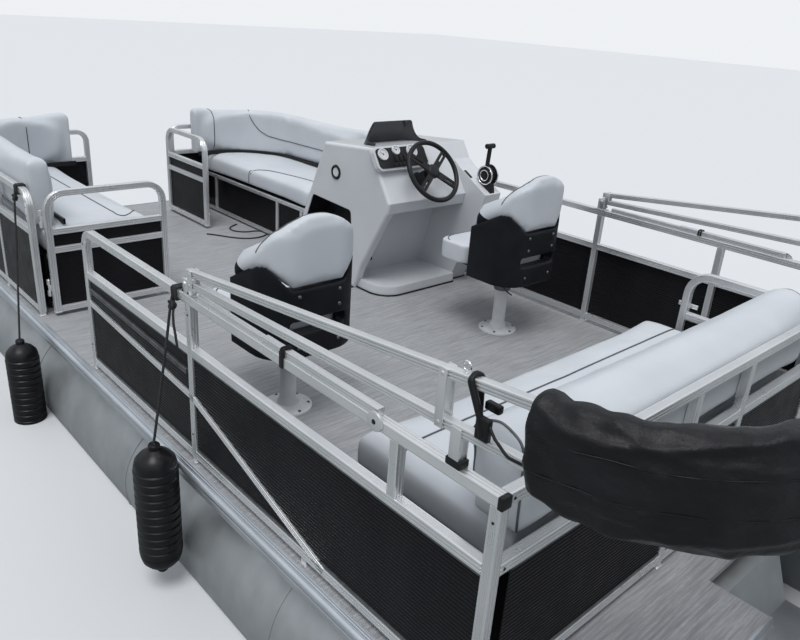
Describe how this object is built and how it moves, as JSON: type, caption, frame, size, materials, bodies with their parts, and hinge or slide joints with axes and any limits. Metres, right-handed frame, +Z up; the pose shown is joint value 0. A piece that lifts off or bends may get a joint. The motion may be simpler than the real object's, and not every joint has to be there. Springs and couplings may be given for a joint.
{
  "type": "pontoon boat",
  "caption": "Pontoon boat: fenced deck on aluminium tubes, with lounges, a helm console, swivel chairs, a folded bimini top and an outboard motor tilted up.",
  "frame": {"origin": "on the ground under the middle of the boat, between the tubes", "axes": "+X to the bow, +Y to port, +Z up"},
  "size_m": [6.8309, 2.757, 1.78],
  "materials": {
    "tube_aluminium": "weathered mill-finish aluminium, dull and mottled",
    "rail_aluminium": "bright brushed aluminium extrusion",
    "deck_vinyl": "plywood under woven vinyl flooring, streaked mid grey",
    "panel_black": "gloss black fluted aluminium sheet",
    "upholstery_grey": "light blue-grey marine vinyl over foam",
    "seat_base": "black panels in an aluminium frame",
    "gelcoat": "light grey gelcoat",
    "dash_black": "black moulded plastic",
    "windscreen_smoke": "smoked acrylic",
    "pedestal_white": "white painted aluminium",
    "chair_shell": "black vinyl over a moulded shell",
    "boot_fabric": "black coated marine fabric",
    "motor_paint": "black painted cast aluminium",
    "cowl_black": "gloss black cowl",
    "engine_iron": "cast block",
    "fender_rubber": "black ribbed vinyl fender",
    "line_black": "black braided line"
  },
  "bodies": {
    "hull": {"pontoon_port": "tube_aluminium", "pontoon_starboard": "tube_aluminium", "crossmembers": "tube_aluminium", "motor_pod": "tube_aluminium", "deck_edge": "rail_aluminium", "fence_frame_port": "rail_aluminium", "fence_frame_starboard": "rail_aluminium", "fence_frame_stern": "rail_aluminium", "bimini_mounts": "rail_aluminium", "deck": "deck_vinyl", "fence_panels_port": "panel_black", "fence_panels_starboard": "panel_black", "fence_panels_stern": "panel_black", "lounge_port_seat": "upholstery_grey", "lounge_port_back": "upholstery_grey", "lounge_starboard_seat": "upholstery_grey", "lounge_starboard_back": "upholstery_grey", "bench_seat": "upholstery_grey", "bench_back": "upholstery_grey", "lounge_port_base": "seat_base", "lounge_starboard_base": "seat_base", "bench_base": "seat_base", "console": "gelcoat", "dash_panel": "dash_black", "throttle_control": "dash_black", "windscreen": "windscreen_smoke", "helm_chair_pedestal": "pedestal_white", "companion_chair_pedestal": "pedestal_white", "motor_clamp_bracket": "motor_paint", "fender_aft": "fender_rubber", "fender_fore": "fender_rubber", "fender_line_aft": "line_black", "fender_line_fore": "line_black", "deck_line": "line_black"},
    "side_gate": {"side_gate_frame": "rail_aluminium", "side_gate_panel": "panel_black"},
    "bow_gate": {"bow_gate_frame": "rail_aluminium", "bow_gate_panel": "panel_black"},
    "stern_gate": {"stern_gate_frame": "rail_aluminium", "stern_gate_panel": "panel_black"},
    "helm_chair_seat": {"helm_chair_shell": "chair_shell", "helm_chair_upholstery": "upholstery_grey"},
    "companion_chair_seat": {"companion_chair_shell": "chair_shell", "companion_chair_upholstery": "upholstery_grey"},
    "bimini": {"bimini_frame": "rail_aluminium", "bimini_boot": "boot_fabric"},
    "motor_swivel": {"motor_swivel_bracket": "motor_paint"},
    "motor": {"motor_leg": "motor_paint", "motor_cowl": "cowl_black", "engine_block": "engine_iron"},
    "propeller": {"propeller": "motor_paint"},
    "steering_wheel": {"steering_wheel": "dash_black"}
  },
  "joints": [
    {"name": "side_gate_swing", "type": "hinge", "parent": "hull", "child": "side_gate", "pos_m": [1.30948, 1.2, 1.082], "axis": [0, 0, 1], "range_deg": [-90, 0]},
    {"name": "bow_gate_swing", "type": "hinge", "parent": "hull", "child": "bow_gate", "pos_m": [2.97148, -0.308, 1.082], "axis": [0, 0, 1], "range_deg": [-90, 0]},
    {"name": "stern_gate_swing", "type": "hinge", "parent": "hull", "child": "stern_gate", "pos_m": [-1.74052, -0.652, 1.082], "axis": [0, 0, 1], "range_deg": [-90, 0]},
    {"name": "helm_chair_swivel", "type": "hinge", "parent": "hull", "child": "helm_chair_seat", "pos_m": [-0.15852, -0.707, 1.082], "axis": [0, 0, 1], "continuous": true},
    {"name": "companion_chair_swivel", "type": "hinge", "parent": "hull", "child": "companion_chair_seat", "pos_m": [-0.20952, 0.735, 1.082], "axis": [0, 0, 1], "continuous": true},
    {"name": "bimini_swing", "type": "hinge", "parent": "hull", "child": "bimini", "pos_m": [-0.36052, 0, 1.494], "axis": [0, 1, 0], "range_deg": [0, 75]},
    {"name": "motor_tilt", "type": "hinge", "parent": "hull", "child": "motor_swivel", "pos_m": [-2.51952, 0, 0.69], "axis": [0, 1, 0], "range_deg": [-65, 0]},
    {"name": "motor_steer", "type": "hinge", "parent": "motor_swivel", "child": "motor", "pos_m": [-2.55967, 0, 0.7761], "axis": [0.9063, 0, 0.4226], "range_deg": [-30, 30]},
    {"name": "propeller_spin", "type": "hinge", "parent": "motor", "child": "propeller", "pos_m": [-3.31787, 0, 0.69839], "axis": [0.4226, 0, -0.9063], "continuous": true},
    {"name": "steering_wheel_turn", "type": "hinge", "parent": "hull", "child": "steering_wheel", "pos_m": [0.44043, -0.7, 1.55151], "axis": [-0.8338, 0, 0.552], "range_deg": [-540, 540]}
  ],
  "couplings": [
    {"joint": "steering_wheel_turn", "follows": "motor_steer", "ratio": -18}
  ]
}
